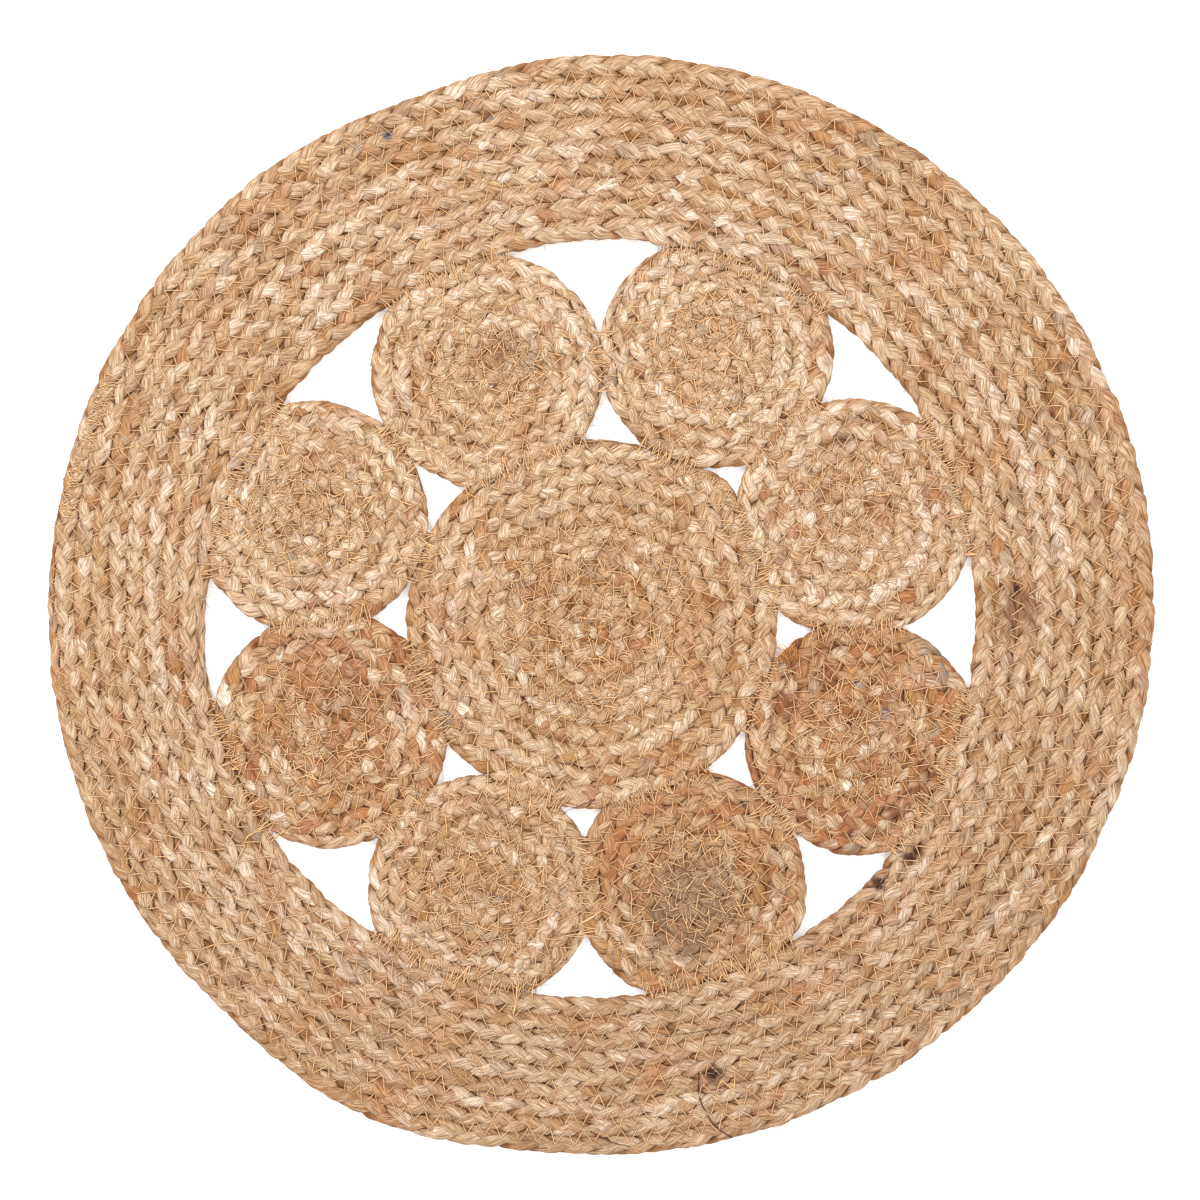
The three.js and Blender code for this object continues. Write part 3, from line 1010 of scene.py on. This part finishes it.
def mesh_of(name, skins, strip_shape):
    """The closed tubes of some skins as one mesh."""
    layout = bake_layout(skins, strip_shape)
    corners, uvs = [], []
    first_point = first_strip = 0
    for one in skins:
        count, rings, sides, _ = one.points.shape
        part, uv = tube_faces(count, rings, sides, first_point, first_strip, layout)
        corners.append(part)
        uvs.append(uv)
        first_point += count * rings * sides
        first_strip += count * (rings - 1)
    corners = np.concatenate(corners)
    points = gathered(skins, "points")
    mesh = bpy.data.meshes.new(name)
    mesh.vertices.add(len(points))
    fill(mesh.vertices, "co", points)
    mesh.loops.add(corners.size)
    fill(mesh.loops, "vertex_index", corners, np.int32)
    mesh.polygons.add(len(corners))
    fill(mesh.polygons, "loop_start", np.arange(0, corners.size, 4), np.int32)
    mesh.update(calc_edges=True)
    fill(mesh.polygons, "use_smooth", np.ones(len(corners)), bool)
    fill(mesh.uv_layers.new(name="OFBake").data, "uv", np.concatenate(uvs))
    place = mesh.attributes.new("fibre_place", "FLOAT_VECTOR", "POINT")
    fill(place.data, "vector", gathered(skins, "place"))
    tint = mesh.attributes.new("tint", "FLOAT_COLOR", "POINT")
    colours = np.concatenate([gathered(skins, "colour"), np.ones((len(points), 1))], 1)
    fill(tint.data, "color", colours)
    return mesh


def placed(name, data):
    """A new object of the scene."""
    thing = bpy.data.objects.new(name, data)
    bpy.context.scene.collection.objects.link(thing)
    return thing


def add_piece(name, skins, look, strip_shape, node=None):
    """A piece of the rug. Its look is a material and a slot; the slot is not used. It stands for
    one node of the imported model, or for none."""
    material, slot = look
    piece = placed(name, mesh_of(name, skins, strip_shape))
    piece.data.materials.append(material)
    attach(piece, "root")
    if node:
        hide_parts(node)


# ---- Materials

def new_material(name):
    material = bpy.data.materials.new(name)
    material.use_nodes = True
    return material, material.node_tree, material.node_tree.nodes["Principled BSDF"]


def add_node(tree, kind, **settings):
    node = tree.nodes.new(kind)
    for key, value in settings.items():
        setattr(node, key, value)
    return node


def set_inputs(node, values):
    for key, value in values.items():
        node.inputs[key].default_value = value


def noise(tree, place, **values):
    node = add_node(tree, "ShaderNodeTexNoise")
    set_inputs(node, values)
    tree.links.new(place, node.inputs["Vector"])
    return node.outputs["Fac"]


def stretched_noise(tree, across, along, detail):
    """Noise that runs along the fibres: grains so wide and so long, in metres."""
    place = add_node(tree, "ShaderNodeAttribute", attribute_name="fibre_place")
    scaled = add_node(tree, "ShaderNodeVectorMath", operation="MULTIPLY")
    scaled.inputs[1].default_value = (1 / across, 1 / across, 1 / along)
    tree.links.new(place.outputs["Vector"], scaled.inputs[0])
    return noise(tree, scaled.outputs["Vector"], Scale=1, Detail=detail, Roughness=0.6)


def ranged(tree, value, given, wanted):
    """A value that runs between two given numbers, made to run between two wanted ones."""
    node = add_node(tree, "ShaderNodeMapRange")
    set_inputs(node, {"From Min": given[0], "From Max": given[1]})
    set_inputs(node, {"To Min": wanted[0], "To Max": wanted[1]})
    tree.links.new(value, node.inputs["Value"])
    return node.outputs["Result"]


def mixed(tree, blend_type, factor, first, second):
    """A colour mix. Each of the factor and the colours is a socket or a value."""
    node = add_node(tree, "ShaderNodeMix", data_type="RGBA", blend_type=blend_type)
    for number, value in ((0, factor), (6, first), (7, second)):
        socket = node.inputs[number]
        if isinstance(value, bpy.types.NodeSocket):
            tree.links.new(value, socket)
        else:
            socket.default_value = value
    return node.outputs[2]


def brightened(tree, colour, factor):
    node = add_node(tree, "ShaderNodeVectorMath", operation="SCALE")
    tree.links.new(colour, node.inputs[0])
    tree.links.new(factor, node.inputs["Scale"])
    return node.outputs["Vector"]


def bumped(tree, shader, height, strength, distance):
    bump = add_node(tree, "ShaderNodeBump")
    set_inputs(bump, {"Strength": strength, "Distance": distance})
    tree.links.new(height, bump.inputs["Height"])
    tree.links.new(bump.outputs["Normal"], shader.inputs["Normal"])


def blotches(tree, grain):
    """Soft patches that run across neighbouring strands."""
    place = add_node(tree, "ShaderNodeTexCoord").outputs["Object"]
    return noise(tree, place, Scale=1 / grain, Detail=2)


# The width and length of the grains of each noise in the straw and the thread, and what
# each shade multiplies the straw's colour by.
STREAK_GRAIN = (0.5 * MM, 12 * MM)
FIBRE_GRAIN = (0.33 * MM, 8 * MM)
PLY_GRAIN = (0.3 * MM, 1.2 * MM)
BLOTCH_GRAIN = 45 * MM
# The crevice reach and the crevice colour below are painted shade: the straw's colour is darkened
# where ambient occlusion finds other straw close by.
CREVICE_SHADE_REACH = 1.3 * MM
DARK_FIBRE = (0.58, 0.50, 0.38, 1)
PALE_FIBRE = (1.48, 1.71, 2.02, 1)
STREAK_COLOUR = (0.56, 0.41, 0.23, 1)
CREVICE_SHADE_COLOUR = (0.12, 0.045, 0.008, 1)
BLOTCH_COLOUR = (*(RUSSET * 1.15), 1)


def painted_crevice_shade(tree):
    """Painted shade: rises from 0 to 1 where other straw stands close round a spot, by ambient
    occlusion.
    """
    occlusion = add_node(tree, "ShaderNodeAmbientOcclusion", samples=6)
    occlusion.inputs["Distance"].default_value = CREVICE_SHADE_REACH
    return ranged(tree, occlusion.outputs["AO"], (0.45, 0.88), (1, 0))


def tint_of(tree):
    return add_node(tree, "ShaderNodeAttribute", attribute_name="tint").outputs["Color"]


def jute_material():
    material, tree, shader = new_material("jute")
    streaks = stretched_noise(tree, *STREAK_GRAIN, detail=3)
    fibres = stretched_noise(tree, *FIBRE_GRAIN, detail=2)
    patch = ranged(tree, blotches(tree, BLOTCH_GRAIN), (0.52, 0.72), (0, 0.35))
    colour = mixed(tree, "MIX", patch, tint_of(tree), BLOTCH_COLOUR)
    fibre_shade = ranged(tree, fibres, (0.36, 0.64), (0, 1))
    fibre_tone = mixed(tree, "MIX", fibre_shade, DARK_FIBRE, PALE_FIBRE)
    colour = mixed(tree, "MULTIPLY", 1, colour, fibre_tone)
    streak_shade = ranged(tree, streaks, (0.36, 0.56), (1, 0))
    colour = mixed(tree, "MULTIPLY", streak_shade, colour, STREAK_COLOUR)
    # Painted shade: the colour is darkened towards dark brown in the crevices.
    colour = mixed(tree, "MULTIPLY", painted_crevice_shade(tree), colour, CREVICE_SHADE_COLOUR)
    tree.links.new(colour, shader.inputs["Base Color"])
    tree.links.new(ranged(tree, streaks, (0.3, 0.7), (0.72, 0.5)), shader.inputs["Roughness"])
    set_inputs(shader, {"Specular IOR Level": 0.22, "Sheen Weight": 0.04, "Sheen Roughness": 0.5})
    bumped(tree, shader, streaks, strength=0.5, distance=0.5 * MM)
    return material


def thread_material():
    material, tree, shader = new_material("sewing_thread")
    plies = stretched_noise(tree, *PLY_GRAIN, detail=1)
    colour = brightened(tree, tint_of(tree), ranged(tree, plies, (0.3, 0.7), (0.8, 1.2)))
    tree.links.new(colour, shader.inputs["Base Color"])
    tree.links.new(ranged(tree, plies, (0.3, 0.7), (0.5, 0.36)), shader.inputs["Roughness"])
    shader.inputs["Specular IOR Level"].default_value = 0.4
    bumped(tree, shader, plies, strength=0.4, distance=0.1 * MM)
    return material


# ---- Stage

FRAME_WIDTH = 0.872  # what the picture takes in, at the rug's height
FRAME_MIDDLE = (-0.4 * MM, 1.8 * MM)
LENS = 85
SENSOR = 36


def add_camera():
    camera = bpy.data.cameras.new("camera")
    camera.lens = LENS
    camera.sensor_width = SENSOR
    holder = placed("camera", camera)
    holder.location = (*FRAME_MIDDLE, FRAME_WIDTH * LENS / SENSOR + RUG_THICKNESS)
    bpy.context.scene.camera = holder


def add_light(name, place, size, power):
    """A round lamp that faces the middle of the rug."""
    light = bpy.data.lights.new(name, "AREA")
    light.shape = "DISK"
    light.size = size
    light.energy = power
    holder = placed(name, light)
    holder.location = place
    x, y, z = place
    holder.rotation_euler = (math.atan2(math.hypot(x, y), z), 0, math.atan2(-y, -x) - math.pi / 2)


def add_floor():
    size = 6
    mesh = bpy.data.meshes.new("floor")
    corners = [(-size, -size, 0), (size, -size, 0), (size, size, 0), (-size, size, 0)]
    mesh.from_pydata(corners, [], [(0, 1, 2, 3)])
    material, _, shader = new_material("floor")
    set_inputs(shader, {"Base Color": (0.93, 0.93, 0.93, 1), "Roughness": 0.9})
    set_inputs(shader, {"Specular IOR Level": 0.1})
    set_inputs(shader, {"Emission Color": (1, 1, 1, 1), "Emission Strength": 0.3})
    mesh.materials.append(material)
    placed("floor", mesh)


def set_stage():
    scene = bpy.context.scene
    scene.view_settings.view_transform = "Standard"
    world = bpy.data.worlds.new("studio")
    world.use_nodes = True
    set_inputs(world.node_tree.nodes["Background"], {"Color": (1, 1, 1, 1), "Strength": 1})
    scene.world = world
    add_light("key_light", (-1.6, 1.8, 2.6), size=1.6, power=65)
    add_light("fill_light", (1.8, -1.2, 3.0), size=2.2, power=25)
    add_floor()
    add_camera()


# ---- The rug

# Seeds of the random values: of the coils' braids, from the border on, of the loose
# fibres, from their first batch on, and of all the sewing.
BRAID_SEED = 11
FIBRE_SEED = 61
SEWING_SEED = 101
BORDER_BATCHES = 2  # of the border's loose fibres

# A tube's ring spacing over the way round it.
STRAND_STRIP = 0.11
THREAD_STRIP = 0.85
FIBRE_STRIP = 3.0


def cut(one, keep):
    """The rings of a skin that lie in a slice."""
    return skin(one.points[:, keep], one.place[:, keep], one.colour[:, keep])


def add_braid(coil, line, skins, jute):
    """A coil's braid. The border's goes in one piece for each of its rows."""
    node = f"{coil.name}_braid"
    if coil.name != "border":
        add_piece(f"{coil.name}_coil", skins, jute, STRAND_STRIP, node)
        return
    ends = np.searchsorted(line.turns, [-1, *range(1, coil.rows), coil.rows + 1])
    for row, (first, last) in enumerate(zip(ends, ends[1:])):
        strands = [cut(one, slice(first, last + 1)) for one in skins]
        add_piece(f"border_row_{row + 1}", strands, jute, STRAND_STRIP, node)


def add_seams(coil, maps, thread, rng):
    """The zigzag seams between a coil's rows. The border's go in one piece for each turn."""
    last_turn = coil.rows - BLUNT_PART * coil.shift_part
    if coil.name == "border":
        turns = [*range(1, coil.rows), last_turn]
        names = [f"border_seam_{seam}" for seam in range(1, coil.rows)]
    else:
        turns = [SEAM_START, last_turn]
        names = [f"{coil.name}_seam"]
    for name, first, last in zip(names, turns, turns[1:]):
        skins = zigzag_skins(lay_line(coil, first, last, SEAM_STEP, False), maps, rng)
        if coil.name != "border":
            skins += tangle_skins(coil, maps, rng)
        add_piece(name, skins, thread, THREAD_STRIP, f"{coil.name}_seam_thread")


# Each pass of a joint's sewing: its pitch, its reach, and its jitter as a part of both.
JOINT_PASSES = [(2.6 * MM, 5.6 * MM, 0.6), (2.8 * MM, 6.6 * MM, 0.8)]


def add_joints(medallions, maps, thread, rng):
    """The close oversewing that joins the medallions to the border and each other."""
    small, large = medallions[:-1], medallions[-1]
    for index, coil in enumerate(small):
        number, after = index + 1, (index + 1) % len(small)
        lines = {f"joint_{number}_to_border": border_contact(coil)}
        neighbours = {
            f"joint_{number}_to_{after + 1}": small[after],
            f"joint_{number}_to_centre": large,
        }
        for name, other in neighbours.items():
            contact = contact_line(coil, other)
            middle = coil.centre + bearing_vector(np.array(contact.bearing)) * contact.along
            lines[name] = straight_line(middle, contact.bearing, contact.half_length)
        for name, line in lines.items():
            skins = passes_of_zigzag(line, JOINT_PASSES, maps, rng)
            add_piece(f"{name}_stitches", skins, thread, THREAD_STRIP, name)


def build_rug():
    jute = (jute_material(), "jute_braid")
    thread = (thread_material(), "sewing_thread")
    medallions = make_medallions()
    border = SimpleNamespace(**BORDER, name="border", centre=np.zeros(2))
    coils = [border, *medallions]
    braids = [braid_skins(coil, np.random.default_rng(BRAID_SEED + index))
              for index, coil in enumerate(coils)]
    maps = make_maps([one for _, skins in braids for one in skins])
    for coil, (line, skins) in zip(coils, braids):
        for one in skins:
            # painted shade in the hollows first, then the real stains
            paint_hollow_shade(one, maps)
            stain(one)
        add_braid(coil, line, skins, jute)
        batches = BORDER_BATCHES if coil.name == "border" else 1
        for batch in range(batches):
            rng = np.random.default_rng(FIBRE_SEED + batch)
            fibres = fibre_skin(line, skins, FIBRES_PER_METRE / batches, rng)
            add_piece(f"{coil.name}_loose_fibres_{batch + 1}", [fibres], jute, FIBRE_STRIP)
    rng = np.random.default_rng(SEWING_SEED)
    for coil in coils:
        add_seams(coil, maps, thread, rng)
    add_joints(medallions, maps, thread, rng)
    strays = loose_thread_skins(maps, rng) + knot_skins(maps, rng)
    add_piece("loose_threads", strays, thread, THREAD_STRIP)
    add_piece("frayed_tuft", tuft_skins(rng), jute, THREAD_STRIP)
    for coil in (border, medallions[-1]):
        skins = end_sewing(coil, maps, rng)
        add_piece(f"{coil.name}_end_stitches", skins, thread, THREAD_STRIP)


set_stage()
build_rug()
